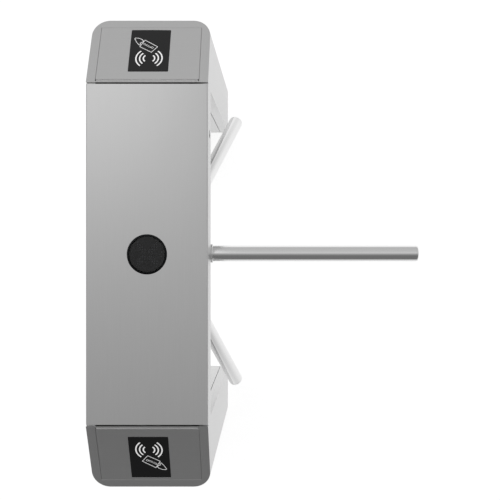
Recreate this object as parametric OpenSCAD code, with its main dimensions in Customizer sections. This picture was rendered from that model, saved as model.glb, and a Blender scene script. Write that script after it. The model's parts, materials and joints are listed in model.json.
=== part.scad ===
// Bridge-type tripod turnstile: two legs, a bridge box with a flat cover, sloped reader ends
// and a three-arm rotor. Millimetres; +X towards the arms, +Y along the cabinet, +Z up.
// The origin lies on the floor in the middle of the cabinet.

/* [Cabinet] */
// Overall length of the cabinet
body_length = 1114; // [1100:2:1136]
// Width of the cabinet
body_width = 280; // [278:1:290]
// Height of the flat top above the floor
body_height = 980; // [950:1:1030]
// Length of the flat top cover
flat_length = 780; // [776:1:785]
// Clear distance between the inner faces of the legs
leg_gap = 771; // [767:1:774]
// Height of the bridge box
bridge_depth = 246; // [242:1:256]
// Height of the upright band above the bevelled side
side_band_height = 90; // [86:1:92]
// Fall of the sloped ends
slope_drop = 100; // [90:1:108]
// Plan radius of the outer leg corners
corner_radius = 41; // [34:1:43]
// Thickness of the cabinet sheet
sheet = 1.5; // [1.2:0.1:2]
// Gap round lids and doors
seam = 0.6; // [0.5:0.1:1.5]
// Gap between the flat cover and the sloped ends
cover_gap = 3.5; // [2.5:0.1:4]
// Depth of the groove that this gap leaves beside the cover
groove_depth = 9; // [6:0.5:12]
// Width of the end flanges of the bridge box
flange_width = 20; // [18:1:22]
// Width of the foot flange inside a leg
foot_flange = 24; // [20:1:25]
// Width of the cable hole from a leg into the bridge
cable_hole_width = 80; // [60:1:86]
// Height of the cable hole from a leg into the bridge
cable_hole_height = 140; // [100:1:150]

/* [Base plates] */
// Thickness of the base plates
base_thick = 6; // [5:0.5:8]
// Radius of the anchor holes
anchor_hole_radius = 7; // [6:0.5:8]
// Distance of the anchor holes from the long edges of a base plate
anchor_side_inset = 45; // [42:1:50]
// Distance of the anchor holes from the two ends of a base plate
anchor_end_inset = 44.5; // [42:0.5:48]
// Radius of the cable entry hole
entry_radius = 16; // [13:0.5:18]
// Height of the cable gland above the base plate
gland_height = 22; // [18:1:28]
// Radius of the gland's hexagon
gland_radius = 22; // [20:0.5:24]
// Clearance round the cable in the gland
gland_bore = 10; // [8:0.5:11]

/* [Hinges] */
// Width of the gap in which a hinge barrel lies
hinge_gap = 6; // [5.8:0.1:7]
// Depth of a hinge axis behind the outer face
axis_depth = 2; // [1.9:0.1:2.2]
// Radius of the hinge barrels
knuckle_radius = 2.5; // [2.4:0.1:2.6]
// Radius of the hinge pins
pin_radius = 1.2; // [1.1:0.05:1.3]
// Radius of the hinge pin heads
pin_head_radius = 2; // [1.8:0.1:2.2]
// Thickness of the hinge pin heads
pin_head = 1; // [0.8:0.1:1.5]
// Radial clearance of pins, shafts and locks in their bores
running_gap = 0.05; // [0.04:0.01:0.08]
// End gap between the knuckles of one hinge
knuckle_gap = 0.5; // [0.4:0.1:0.8]
// Thickness of the hinge leaves
leaf_thick = 1.2; // [1:0.1:1.4]
// Reach of a hinge leaf from the axis
leaf_reach = 16; // [14:0.5:17]
// Length of one cover hinge
cover_hinge_length = 90; // [70:2:110]
// Distance between the outer cover hinges
cover_hinge_span = 600; // [560:5:620]
// Length of one lid hinge
lid_hinge_length = 232; // [200:2:232]
// Length of one door hinge
door_hinge_length = 60; // [50:2:70]
// Distance of the door hinges from the two ends of a door
door_hinge_inset = 96.5; // [86:0.5:116]

/* [Top cover] */
// Depth of the cover with its folded edges
cover_depth = 20; // [19:0.5:22]
// Outside radius of the cover's long folds
edge_bend = 4; // [3:0.5:6]
// Width of a cover rib
rib_width = 24; // [18:1:30]
// Depth of a cover rib
rib_depth = 8; // [6:0.5:9]
// Distance between neighbouring cover ribs
rib_spacing = 130; // [125:1:140]
// Space between the ribs and the folded edges
rib_end_gap = 8; // [6:0.5:10]

/* [Indicator] */
// Radius of the dark indicator face
indicator_radius = 44; // [42.5:0.5:46]
// Width of the bezel flange on the cover
bezel_flange = 2; // [1.5:0.1:3]
// Height of the bezel flange above the cover
bezel_rise = 1.2; // [1:0.1:1.6]
// Wall of the bezel
bezel_wall = 2.5; // [2:0.1:3]
// Depth of the bezel below the cover
bezel_depth = 14; // [12:0.5:15]
// Width of the ledge under the lens
lens_ledge = 2; // [1.5:0.1:2.5]
// Thickness of the ledge under the lens
ledge_thick = 1.5; // [1.2:0.1:2]
// Thickness of the lens
lens_thick = 3; // [2.5:0.1:3.4]
// Depth of the lens face below the cover
lens_sink = 0.5; // [0.3:0.1:1]
// Clearance round the lens, the windows and the boards
fit_gap = 0.4; // [0.2:0.05:0.6]
// Thickness of the circuit boards
board_thick = 1.6; // [1.4:0.1:1.8]
// Spacing of the indicator lamps
lamp_pitch = 11.4; // [10:0.2:12]
// Radius of one indicator lamp
lamp_radius = 2; // [1.5:0.1:2.5]
// Height of one indicator lamp
lamp_height = 1.2; // [1:0.1:1.4]

/* [Reader lids] */
// Distance between a lid and the sides of the cabinet
lid_rim = 21.5; // [20:0.5:22]
// Distance of the lid hinge from the upper edge of the slope
lid_axis_offset = 6.2; // [6:0.1:7]
// Length of a lid down the slope, from its hinge
lid_length = 162; // [161:1:166]
// Depth of the folded edges of lids and doors
fold_depth = 12; // [10:0.5:13]
// Width of a reader window
window_width = 92; // [86:1:98]
// Length of a reader window down the slope
window_length = 128; // [120:1:130]
// Distance of the window from the upper edge of the slope
window_start = 32.5; // [29:0.5:33]
// Corner radius of a window
window_corner = 2; // [1.5:0.5:5]
// Thickness of a window plate
window_thick = 3; // [2.6:0.1:3.4]
// Height of a window above the lid
window_rise = 0.5; // [0.3:0.1:0.8]
// Width of the window's rear flange
window_flange = 4; // [3:0.5:5]
// Width of a reader module
module_width = 70; // [60:1:80]
// Length of a reader module
module_length = 96; // [84:1:100]
// Thickness of a reader module
module_thick = 14; // [10:0.5:18]

/* [Leg doors] */
// Distance of the door edges from the sides of the cabinet
door_inset = 25; // [22:0.5:27]
// Height of the door's lower edge above the floor
door_foot = 19; // [17:0.5:22]
// Distance of the door's upper edge below the bridge box
door_drop = 22; // [16:1:34]
// Height of the door lock above the floor
door_lock_height = 380; // [350:5:420]
// Distance of the lock axis from the door's free edge
lock_inset = 26; // [24:0.5:28]
// Radius of a lock plug
lock_radius = 8; // [7:0.5:9]
// Thickness of a lock's face
lock_face = 1.6; // [1.2:0.1:2.5]
// Radius of a lock's face
lock_face_radius = 10; // [9.5:0.5:11]
// Radius of the bush round a lock plug
lock_bush_radius = 11.5; // [11:0.5:12]
// Length of the bush round a lock plug
lock_bush_length = 11; // [9:0.5:12]
// Thickness of a lock tongue
tongue_thick = 2; // [1.6:0.1:2.5]
// Width of a lock tongue
tongue_width = 12; // [10:0.5:14]
// Reach of a door lock tongue
tongue_reach = 38; // [36:0.5:40]
// Play between a lock tongue and its strike
strike_play = 0.5; // [0.4:0.1:0.8]
// Width of the door strike
strike_width = 12; // [10:0.5:14]
// Height of the door strike
strike_height = 34; // [30:1:40]

/* [Cover lock] */
// Distance of the cover lock from the middle of the cabinet
cover_lock_distance = 280; // [260:5:300]
// Height of the cover lock below the flat top
cover_lock_drop = 52; // [50:0.5:54]
// Reach of the cover lock tongue
cover_tongue_reach = 30; // [28:0.5:32]
// Start of the cover hook beside the lock axis
hook_start = 15; // [14:0.5:16]
// Width of the cover hook
hook_width = 13; // [11:0.5:14]
// Thickness of the cover hook
hook_thick = 2; // [1.6:0.1:2.4]
// Depth of the foot of the cover hook
hook_foot = 14; // [13:0.5:15]

/* [Rotor] */
// Depth of the level arm's centre line below the flat top
arm_drop = 130; // [126:0.5:134]
// Distance of the arms' meeting point from the arm side of the cabinet
apex_inset = 111; // [109:0.5:113]
// Reach of an arm from the meeting point
arm_reach = 610; // [580:1:640]
// Diameter of the arms
arm_diameter = 38; // [35:0.5:39]
// Wall of the arm tubes
arm_wall = 2; // [1.5:0.1:3]
// Start of an arm tube from the meeting point
arm_start = 62; // [60:0.5:64]
// Thickness of an arm's end cap
cap_thick = 6; // [5.5:0.1:8]
// Edge radius of an arm's end cap
cap_round = 5; // [3:0.5:5]
// Depth of the end cap's plug in the tube
cap_plug = 14; // [10:1:18]
// Clearance of the arms and plugs in their bores
slip_gap = 0.1; // [0.05:0.01:0.2]
// Radius of an arm socket
socket_radius = 23; // [22.5:0.1:23.5]
// Reach of an arm socket from the meeting point
socket_reach = 114; // [112:1:118]
// Start of an arm socket from the meeting point
socket_start = 50; // [48:1:52]
// Radius of the hub
hub_radius = 82; // [81:0.5:83]
// Radius of the rotor opening
opening_radius = 86; // [85.5:0.5:88]
// Front of the hub's rim along the rotor axis
hub_rim = 46; // [44:0.5:48]
// Front of the hub along the rotor axis
hub_front = 82; // [78:0.5:84]
// Radius of the hub's front face
hub_nose_radius = 36; // [32:0.5:40]
// Rear face of the hub along the rotor axis
hub_rear = 12; // [11.5:0.5:13]
// Depth of the hollow in the hub's rear face
hub_hollow = 12; // [8:0.5:13]
// Wall round the hollow in the hub's rear face
hub_wall = 10; // [8:0.5:14]
// Radius of the boss round the shaft
hub_boss_radius = 28; // [27:0.5:32]
// Radius of the hub cap
hub_cap_radius = 24; // [20:0.5:28]
// Thickness of the hub cap
hub_cap_thick = 2.5; // [2:0.1:4]
// Radius of an arm screw
screw_radius = 3; // [2.5:0.1:3.5]
// Place of an arm screw along its arm
screw_distance = 106; // [103:0.5:108]

/* [Rotor shaft] */
// Radius of the shaft in its bearings
shaft_radius = 12.5; // [12:0.1:13]
// Radius of the shaft behind its shoulder
shaft_neck_radius = 11; // [10.5:0.1:11.5]
// Radius of the shaft's rear end
shaft_tail_radius = 9; // [8:0.1:10]
// Front end of the shaft along the rotor axis
shaft_front = 40; // [36:0.5:44]
// Radius of the shaft flange under the hub
shaft_flange_radius = 25; // [24:0.5:26]
// Thickness of the shaft flange
shaft_flange = 4; // [3:0.5:4.5]
// Distance of the locking disc behind the bearing housing
disc_distance = 6; // [5.5:0.1:6.5]
// Length of the shaft neck that carries the discs
neck_length = 37; // [36.5:0.5:38]
// Thickness of the locking disc
lock_disc_thick = 8; // [6:0.5:8]
// Radius of the locking disc
lock_disc_radius = 56; // [55:0.5:56]
// Depth of the notches in the locking disc
notch_depth = 11; // [10:0.5:12]
// Width of the notches in the locking disc
notch_width = 15; // [14.5:0.5:17]
// Length of the collars between the discs on the shaft
disc_collar = 8; // [7.5:0.5:8.5]
// Radius of the collars between the discs on the shaft
collar_radius = 20; // [18:0.5:22]
// Thickness of the drive gear
gear_thick = 8; // [7:0.5:8]
// Length of the collar between the gear and the encoder disc
gear_collar = 6; // [5.5:0.5:6.5]
// Thickness of the encoder disc
encoder_thick = 1.5; // [1:0.1:1.6]
// Radius of the encoder disc
encoder_radius = 44; // [43:0.5:45]
// Depth of the encoder slots
encoder_slot = 8; // [6:0.5:9]
// Width of the encoder slots
encoder_slot_width = 4; // [3:0.5:5]
// Thickness of the shaft nut
nut_thick = 5; // [4:0.5:5]
// Radius of the shaft nut's hexagon
nut_radius = 17; // [16:0.5:18]

/* [Gears] */
// Size of the gear teeth
tooth_module = 2.5; // [2.4:0.02:2.52]
// Number of teeth of the drive gear
gear_teeth = 40; // [40:8:40]
// Number of teeth of the pinions
pinion_teeth = 16; // [16:1:17]
// Backlash of the teeth
backlash = 0.35; // [0.3:0.05:0.5]
// Extra centre distance of the pinions
mesh_play = 0.2; // [0.15:0.05:0.3]
// Radius of the pinion shafts
pinion_shaft_radius = 4; // [3.5:0.1:5]
// Front overhang of a pinion shaft
pinion_shaft_front = 2; // [1:0.5:2.5]
// Depth of a pinion shaft in its drive
pinion_shaft_depth = 12; // [8:0.5:16]

/* [Mechanism frame] */
// Front face of the main plate along the rotor axis
plate_front = 6; // [5.5:0.1:6.5]
// Thickness of the main plate
plate_thick = 8; // [6:0.5:8]
// Width of the main plate along the cabinet
plate_width = 280; // [276:1:290]
// Reach of the main plate above the rotor axis
plate_up = 100; // [97:0.5:102]
// Reach of the main plate below the rotor axis
plate_down = 110; // [105:0.5:112]
// Radius of the main plate's bore
plate_bore_radius = 30; // [29:0.5:32]
// Radius of the plate spacers
spacer_radius = 8; // [7:0.5:9]
// Distance of the spacers from the edges of the main plate
spacer_inset = 14; // [13:0.5:16]
// Radius of the bearing housing
housing_radius = 36; // [34:0.5:38]
// Length of the bearing housing
housing_length = 40; // [38:0.5:41]
// Radius of the housing flange
housing_flange_radius = 52; // [50:0.5:52]
// Thickness of the housing flange
housing_flange = 8; // [7:0.5:10]
// Outer radius of the shaft bearings
bearing_radius = 26; // [25:0.5:27]
// Width of a shaft bearing
bearing_width = 15; // [13:0.5:16]
// Depth of the bearing's shield below its rings
shield_sink = 1; // [0.5:0.1:1.5]
// Wall of the bearing's inner and outer ring
race_wall = 3; // [2.5:0.1:3.5]
// Radius of the lip that holds a bearing
bearing_lip_radius = 22; // [21:0.5:23]
// Radius of a housing bolt
bolt_radius = 3; // [2.5:0.1:3.5]
// Radius of a housing bolt's head
bolt_head_radius = 5; // [4.5:0.1:5.5]
// Thickness of a bolt head
bolt_head = 4; // [3:0.1:5]
// Clearance of a bolt in its hole
bolt_gap = 0.2; // [0.1:0.05:0.3]
// Pitch radius of the housing bolts
bolt_circle = 44; // [43:0.5:44.5]
// Front face of the rear plate along the rotor axis, behind the apex
rear_plate_distance = 88; // [87.5:0.5:89]
// Thickness of the rear plate
rear_plate_thick = 4; // [3:0.5:5]
// Reach of the rear plate above the rotor axis
rear_up = 54; // [52:0.5:56]
// Reach of the rear plate below the rotor axis
rear_down = 116; // [114:0.5:118]
// Width of the rear plate
rear_width = 176; // [170:1:180]
// Radius of the rear pillars
pillar_radius = 6; // [5:0.5:6.5]
// Distance of the upper rear pillars above the rotor axis
pillar_up = 40; // [39:0.5:42]
// Distance of the lower rear pillar below the rotor axis
pillar_down = 104; // [102:0.5:106]
// Side distance of the upper rear pillars
pillar_side = 76; // [74:0.5:78]
// Radius of the motor
motor_radius = 25; // [22:0.5:26]
// Length of the motor
motor_length = 44; // [38:1:46]
// Radius of the damper
damper_radius = 22; // [20:0.5:24]
// Length of the damper
damper_length = 20; // [16:1:26]
// Width of the position sensor
sensor_width = 16; // [12:1:20]
// Length of the position sensor
sensor_length = 22; // [20:0.5:23]
// Overlap of the sensor over the encoder disc
sensor_overlap = 10; // [9:0.5:11]
// Gap between the sensor and the encoder disc
sensor_gap = 1.2; // [1:0.1:1.3]
// Thickness of the sensor's front arm
sensor_arm = 3; // [2.5:0.1:3.2]

/* [Pawls] */
// Distance of a pawl's pivot below the rotor axis
pawl_down = 44; // [43.5:0.1:44.5]
// Side distance of a pawl's pivot
pawl_side = 53.5; // [53.3:0.1:54]
// Radius of a pawl post
post_radius = 5; // [4.5:0.1:5.5]
// Radius of a pawl's boss
pawl_boss_radius = 9; // [8.5:0.1:9.5]
// Radius of the collars of a pawl post
post_collar_radius = 8; // [7.5:0.1:8.5]
// End gap between a pawl and its collars
pawl_end_gap = 0.5; // [0.4:0.1:0.8]
// Thickness of a pawl post's head
post_head = 3; // [2:0.1:3.5]
// Half width of a pawl's nose
nose_half = 4.5; // [4:0.1:4.8]
// Height of a pawl's nose tip above the pivot line
nose_tip = 5; // [4.8:0.1:5.4]
// Height of a pawl's lower edge before the nose
pawl_low = 12; // [11.8:0.1:12.6]
// Height of a pawl's lower edge beyond the nose
pawl_tail_low = 14.8; // [14.6:0.1:15]
// Height of a pawl's upper edge at its end
pawl_high = 22; // [21:0.1:23]
// Height of the link pin above the pivot line
link_rise = 17.5; // [17.3:0.1:17.7]
// Reach of the link pin from the pivot
link_reach = 58; // [57.5:0.1:58.5]
// Radius of the link pin
link_radius = 2.5; // [2.2:0.1:2.6]
// Length of the link pin in front of the pawl
link_length = 7.5; // [7:0.1:8]
// End wall of the pawl and the link plate round the link pin
link_wall = 5; // [4.5:0.1:5.5]
// Clearance between the link pin and its slot
link_gap = 0.3; // [0.25:0.05:0.4]
// Side travel of the link pin in its slot
link_travel = 2.4; // [2.3:0.1:2.6]
// Thickness of the link plate
link_thick = 4; // [3.5:0.1:4.5]
// Distance of the link plate in front of the pawl
link_offset = 1.5; // [1.2:0.1:2]
// Length of the link plate beyond the slot
link_tail = 10; // [9:0.1:11]
// Radius of a plunger
plunger_radius = 6; // [5:0.1:6.5]
// Length of a plunger
plunger_length = 38; // [34:0.5:40]
// Clearance round a plunger
plunger_gap = 0.3; // [0.25:0.05:0.5]
// Start of a solenoid beside the rotor axis
solenoid_start = 86; // [85.5:0.5:88]
// Length of a solenoid
solenoid_length = 44; // [42:0.5:46]
// Width of a solenoid
solenoid_width = 30; // [26:1:30]
// Thickness of the solenoid's bracket
bracket_thick = 3; // [2.5:0.1:4]

/* [Electrics] */
// Width of the control board
board_width = 104; // [96:1:106]
// Length of the control board
board_length = 160; // [150:2:170]
// Distance of the control board from the middle of the cabinet
board_distance = 270; // [265:1:280]
// Height of the board pillars
board_lift = 10; // [8:0.5:14]
// Radius of the board pillars
board_pillar_radius = 3; // [2.5:0.1:4]
// Distance of the pillars from the board's edges
board_pillar_inset = 6; // [5:0.5:8]
// Width of one relay
relay_width = 16; // [14:0.5:18]
// Length of one relay
relay_length = 20; // [18:0.5:22]
// Height of one relay
relay_height = 15; // [12:0.5:18]
// Number of relays
relay_count = 4; // [2:1:5]
// Distance between the relays
relay_spacing = 26; // [24:0.5:28]
// Size of the processor
chip_size = 18; // [14:0.5:20]
// Height of the processor
chip_height = 2; // [1.5:0.1:3]
// Width of the board's terminal block
plug_width = 12; // [10:0.5:14]
// Height of the board's terminal block
plug_height = 12; // [10:0.5:14]
// Inset of the blocks from the board's edge
plug_inset = 14; // [12:0.5:18]
// Width of the power supply
supply_width = 98; // [90:1:104]
// Length of the power supply
supply_length = 160; // [140:2:180]
// Height of the power supply
supply_height = 42; // [36:1:50]
// Thickness of the power supply's case
supply_wall = 1.5; // [1.2:0.1:2]
// Width of a vent slot
vent_width = 4; // [3:0.5:5]
// Length of a vent slot
vent_length = 60; // [50:1:70]
// Distance between the vent slots
vent_spacing = 14; // [12:0.5:16]
// Side distance of the board and supply from the cabinet wall
bay_inset = 6; // [4:0.5:8]
// Height of the terminal rail above the floor
rail_height = 300; // [280:5:340]
// Length of the terminal rail
rail_length = 150; // [120:2:170]
// Height of the rail's face
rail_face = 35; // [33:0.5:37]
// Depth of the rail
rail_depth = 7.5; // [7:0.1:8]
// Thickness of one terminal
terminal_thick = 10; // [8:0.5:11]
// Gap between terminals
terminal_gap = 0.5; // [0.3:0.1:0.8]
// Height of one terminal
terminal_height = 46; // [42:0.5:52]
// Depth of one terminal
terminal_depth = 38; // [34:0.5:44]
// Number of terminals
terminal_count = 9; // [4:1:10]

/* [Hidden] */
$fn = 64;
// Cuts run past the faces that they open by this much.
overrun = 1;
// A moving hinge leaf runs into its sheet by this much, so that they are one solid.
weld = 0.1;
lean = 45;
arm_count = 3;
notch_count = 6;
encoder_slot_count = 12;
housing_bolt_count = 6;
pressure_angle = 20;
addendum_share = 0.9;
dedendum_share = 1.25;
cover_hinge_shares = [-0.5, 0, 0.5];
rib_shares = [-2, -1, 1, 2];
bridge_bolt_shares = [0.15, 0.5, 0.85];
// Lamps of the arrow and the cross, in steps of the lamp pitch.
arrow_shares = [[-2, 1.5], [-1.5, 1], [-1.5, 2], [-1, 0.5], [-1, 1.5], [-1, 2.5], [0, 1.5], [1, 1.5], [2, 1.5]];
cross_shares = [[-1, -2.5], [-0.5, -2], [0, -1.5], [0.5, -1], [1, -0.5], [-1, -0.5], [-0.5, -1], [0.5, -2],
                [1, -2.5]];

half_width = body_width / 2;
half_length = body_length / 2;
half_gap = leg_gap / 2;
half_flat = flat_length / 2;
slope_start = half_flat + cover_gap;
slope_foot = body_height - slope_drop;
slope_angle = atan2(slope_drop, half_length - slope_start);
bridge_floor = body_height - bridge_depth;
band_foot = body_height - side_band_height;
bevel_end = half_width - (band_foot - bridge_floor);
cover_foot = body_height - cover_depth;
hinge_wall_top = cover_foot - hinge_gap;
free_wall_top = cover_foot - seam;
hinge_half = hinge_gap / 2;
leg_inner = half_gap + sheet;
apex_x = half_width - apex_inset;
arm_height = body_height - arm_drop;
opening_plane = (apex_inset + side_band_height - arm_drop) * cos(lean);
plate_rear = plate_front - plate_thick;
housing_rear = plate_rear - housing_length;
neck_start = housing_rear - disc_distance;
lock_disc_rear = neck_start - lock_disc_thick;
gear_front = lock_disc_rear - disc_collar;
gear_rear = gear_front - gear_thick;
encoder_front = gear_rear - gear_collar;
encoder_rear = encoder_front - encoder_thick;
neck_end = neck_start - neck_length;
gear_pitch_radius = tooth_module * gear_teeth / 2;
pinion_pitch_radius = tooth_module * pinion_teeth / 2;
pinion_distance = gear_pitch_radius + pinion_pitch_radius + mesh_play;
door_half = half_width - door_inset;
door_top = bridge_floor - door_drop;
lock_x = door_half - lock_inset;
tongue_depth = fold_depth + sheet + strike_play;
lid_half = half_width - lid_rim;
lid_cut = fold_depth + sheet + seam;
// The lid hinge's fixed knuckles are welded to the upright wall behind the slope's upper edge.
lid_tab_reach = lid_axis_offset - sheet / cos(slope_angle) - (sheet + leaf_thick) * tan(slope_angle);
arm_radius = arm_diameter / 2;
floor_top = bridge_floor + sheet;
bay_x = -half_width + sheet + bay_inset;

// Shared forms

module ring(outer, inner, height) {
    difference() {
        cylinder(r = outer, h = height);
        translate([0, 0, -overrun])
            cylinder(r = inner, h = height + 2 * overrun);
    }
}

module hexagon(radius, height) {
    cylinder(r = radius, h = height, $fn = 6);
}

module rounded_plate(width, length, corner, height) {
    linear_extrude(height)
        union() {
            square([width - 2 * corner, length], center = true);
            square([width, length - 2 * corner], center = true);
            for (x = [-1, 1], y = [-1, 1])
                translate([x * (width / 2 - corner), y * (length / 2 - corner)])
                    circle(r = corner);
        }
}

// Sheet tray with folded edges, its outer face up at zero.
module tray(width, length, depth) {
    difference() {
        translate([-width / 2, 0, -depth])
            cube([width, length, depth]);
        translate([-width / 2 + sheet, sheet, -depth - overrun])
            cube([width - 2 * sheet, length - 2 * sheet, depth + overrun - sheet]);
    }
}

// Hinges lie along z, with the moving side at +x and the outer face at +y.
module knuckle(start, length) {
    translate([0, 0, start])
        ring(knuckle_radius, pin_radius + running_gap, length);
}

module leaf(side, length, sink) {
    span = leaf_reach - hinge_half;
    middle = side * (hinge_half + leaf_reach) / 2;
    translate([middle - span / 2, axis_depth - sheet - leaf_thick, -length / 2])
        cube([span, leaf_thick + sink, length]);
}

module leaf_tab(side, reach, start, length) {
    translate([min(0, side * reach), axis_depth - sheet - leaf_thick, start])
        difference() {
            cube([reach, leaf_thick, length]);
            translate([-min(0, side * reach), sheet + leaf_thick - axis_depth, -overrun])
                cylinder(r = pin_radius + running_gap, h = length + 2 * overrun);
        }
}

module fixed_knuckles(length, reach) {
    part = length / 3;
    for (start = [-length / 2, part / 2]) {
        knuckle(start, part);
        leaf_tab(-1, reach, start, part);
    }
}

module fixed_hinge(length) {
    leaf(-1, length, 0);
    fixed_knuckles(length, hinge_half);
}

module moving_hinge(length) {
    part = length / 3 - 2 * knuckle_gap;
    leaf(1, length, weld);
    knuckle(-part / 2, part);
    leaf_tab(1, hinge_half, -part / 2, part);
}

module pin(length) {
    translate([0, 0, -length / 2])
        cylinder(r = pin_radius, h = length);
    translate([0, 0, length / 2])
        cylinder(r = pin_head_radius, h = pin_head);
    translate([0, 0, -length / 2 - pin_head])
        cylinder(r = pin_head_radius, h = pin_head);
}

module at_cover_hinges() {
    for (share = cover_hinge_shares)
        translate([-half_width + axis_depth, share * cover_hinge_span, cover_foot - hinge_half])
            rotate([90, -90, 0])
                children();
}

module in_left_slope() {
    translate([0, slope_start, body_height])
        rotate([-slope_angle, 0, 0])
            children();
}

module at_left_lid_hinge() {
    in_left_slope()
        translate([0, lid_axis_offset, -axis_depth])
            rotate([90, 0, 90])
                children();
}

module at_left_door_hinges() {
    for (height = [door_foot + door_hinge_inset, door_top - door_hinge_inset])
        translate([-door_half, half_gap + axis_depth, height])
            rotate([180, 0, 0])
                children();
}

module at_right() {
    mirror([0, 1, 0])
        children();
}

module in_rotor() {
    translate([apex_x, 0, arm_height])
        rotate([0, 90 + lean, 0])
            children();
}

module at_arm(index) {
    rotate([0, 0, 180 + index * 360 / arm_count])
        rotate([0, lean, 0])
            children();
}

// Cabinet

module leg_plan(inset) {
    reach = half_width - inset;
    corner = corner_radius - inset;
    union() {
        translate([-reach, half_gap + inset])
            square([2 * reach, half_length - corner_radius - half_gap - inset]);
        translate([-reach + corner, half_gap + inset])
            square([2 * (reach - corner), half_length - half_gap - 2 * inset]);
        for (side = [-1, 1])
            translate([side * (reach - corner), half_length - corner_radius])
                circle(r = corner);
    }
}

module leg_side(inset) {
    fall = inset / cos(slope_angle);
    polygon([
        [half_gap + inset, base_thick + inset],
        [half_length - inset, base_thick + inset],
        [half_length - inset, slope_foot + inset * tan(slope_angle) - fall],
        [slope_start + inset, body_height - inset * tan(slope_angle) - fall],
        [slope_start + inset, body_height - groove_depth - inset],
        [half_flat + seam + inset, body_height - groove_depth - inset],
        [half_flat + seam + inset, hinge_wall_top - inset],
        [half_gap + inset, hinge_wall_top - inset]
    ]);
}

module leg_form(inset) {
    intersection() {
        linear_extrude(body_height)
            leg_plan(inset);
        translate([-half_width, 0, 0])
            rotate([90, 0, 90])
                linear_extrude(body_width)
                    leg_side(inset);
    }
}

module leg() {
    difference() {
        leg_form(0);
        leg_form(sheet);
        in_left_slope()
            translate([-lid_half - seam, lid_axis_offset - hinge_half, -lid_cut])
                cube([2 * (lid_half + seam), lid_length + hinge_half + seam, lid_cut + overrun]);
        translate([-door_half - hinge_half, half_gap - overrun, door_foot - seam])
            cube([2 * door_half + hinge_half + seam, sheet + 2 * overrun, door_top - door_foot + 2 * seam]);
        translate([-half_width + flange_width + seam, half_gap - overrun, floor_top + flange_width + seam])
            cube([cable_hole_width, sheet + 2 * overrun, cable_hole_height]);
        translate([-half_width + foot_flange, half_gap + foot_flange, 0])
            cube([body_width - 2 * foot_flange, half_length - half_gap - 2 * foot_flange,
                  base_thick + sheet + overrun]);
        for (place = bridge_bolt_places)
            translate([place[0], half_gap - overrun, place[1]])
                rotate([-90, 0, 0])
                    cylinder(r = bolt_radius + bolt_gap, h = sheet + 2 * overrun);
    }
    translate([door_half + seam, leg_inner, door_lock_height - strike_height / 2])
        cube([strike_width, fold_depth, strike_height]);
}

module left_leg() {
    color("silver") leg();
}

module right_leg() {
    color("silver") at_right() leg();
}

module bridge_outline(inset) {
    shift = inset * tan(lean / 2);
    polygon([
        [-half_width + inset, bridge_floor + inset],
        [bevel_end - shift, bridge_floor + inset],
        [half_width - inset, band_foot + shift],
        [half_width - inset, body_height],
        [-half_width + inset, body_height]
    ]);
}

bridge_bolt_places = [
    for (share = bridge_bolt_shares)
        [-half_width + flange_width / 2, bridge_floor + share * (hinge_wall_top - bridge_floor)],
    [(bevel_end - half_width) / 2, bridge_floor + flange_width / 2],
    [half_width - flange_width / 2, (band_foot + free_wall_top) / 2]
];

module along_bridge(length) {
    translate([0, length / 2, 0])
        rotate([90, 0, 0])
            linear_extrude(length)
                children();
}

module bridge_box() {
    color("silver") {
        difference() {
            along_bridge(leg_gap) bridge_outline(0);
            difference() {
                along_bridge(leg_gap - 2 * sheet) bridge_outline(sheet);
                at_cover_lock()
                    translate([0, 0, -lock_bush_length])
                        cylinder(r = lock_bush_radius, h = lock_bush_length);
            }
            along_bridge(leg_gap + 2 * overrun) bridge_outline(flange_width);
            translate([-half_width - overrun, -half_gap - overrun, hinge_wall_top])
                cube([half_width + overrun, leg_gap + 2 * overrun, cover_depth + hinge_gap + overrun]);
            translate([-overrun, -half_gap - overrun, free_wall_top])
                cube([half_width + 2 * overrun, leg_gap + 2 * overrun, cover_depth + seam + overrun]);
            in_rotor()
                translate([0, 0, opening_plane - spacer_radius])
                    cylinder(r = opening_radius, h = 2 * spacer_radius);
            for (end = [-1, 1], place = bridge_bolt_places)
                translate([place[0], end * half_gap, place[1]])
                    rotate([90, 0, 0])
                        translate([0, 0, -sheet - overrun])
                            cylinder(r = bolt_radius + bolt_gap, h = 2 * (sheet + overrun));
            at_cover_lock()
                translate([0, 0, -lock_bush_length - overrun])
                    cylinder(r = lock_radius + running_gap, h = lock_bush_length + 2 * overrun);
        }
    }
}

// The cover lock's axis, pointing out of the arm side of the cabinet.
module at_cover_lock() {
    translate([half_width, cover_lock_distance, body_height - cover_lock_drop])
        rotate([0, 90, 0])
            children();
}

module bridge_bolts() {
    color("gray")
        for (end = [0, 1], place = bridge_bolt_places)
            mirror([0, end, 0])
                translate([place[0], half_gap - sheet - bolt_head, place[1]])
                    rotate([-90, 0, 0]) {
                        hexagon(bolt_head_radius, bolt_head);
                        cylinder(r = bolt_radius, h = 2 * (bolt_head + sheet));
                        translate([0, 0, bolt_head + 2 * sheet])
                            hexagon(bolt_head_radius, bolt_head);
                    }
}

module base_plate() {
    difference() {
        linear_extrude(base_thick)
            leg_plan(0);
        for (x = [-1, 1], y = [half_gap + anchor_end_inset, half_length - anchor_end_inset])
            translate([x * (half_width - anchor_side_inset), y, -overrun])
                cylinder(r = anchor_hole_radius, h = base_thick + 2 * overrun);
        translate([0, (half_gap + half_length) / 2, -overrun])
            cylinder(r = entry_radius, h = base_thick + 2 * overrun);
    }
}

module left_base_plate() {
    color("silver") base_plate();
}

module right_base_plate() {
    color("silver") at_right() base_plate();
}

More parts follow.
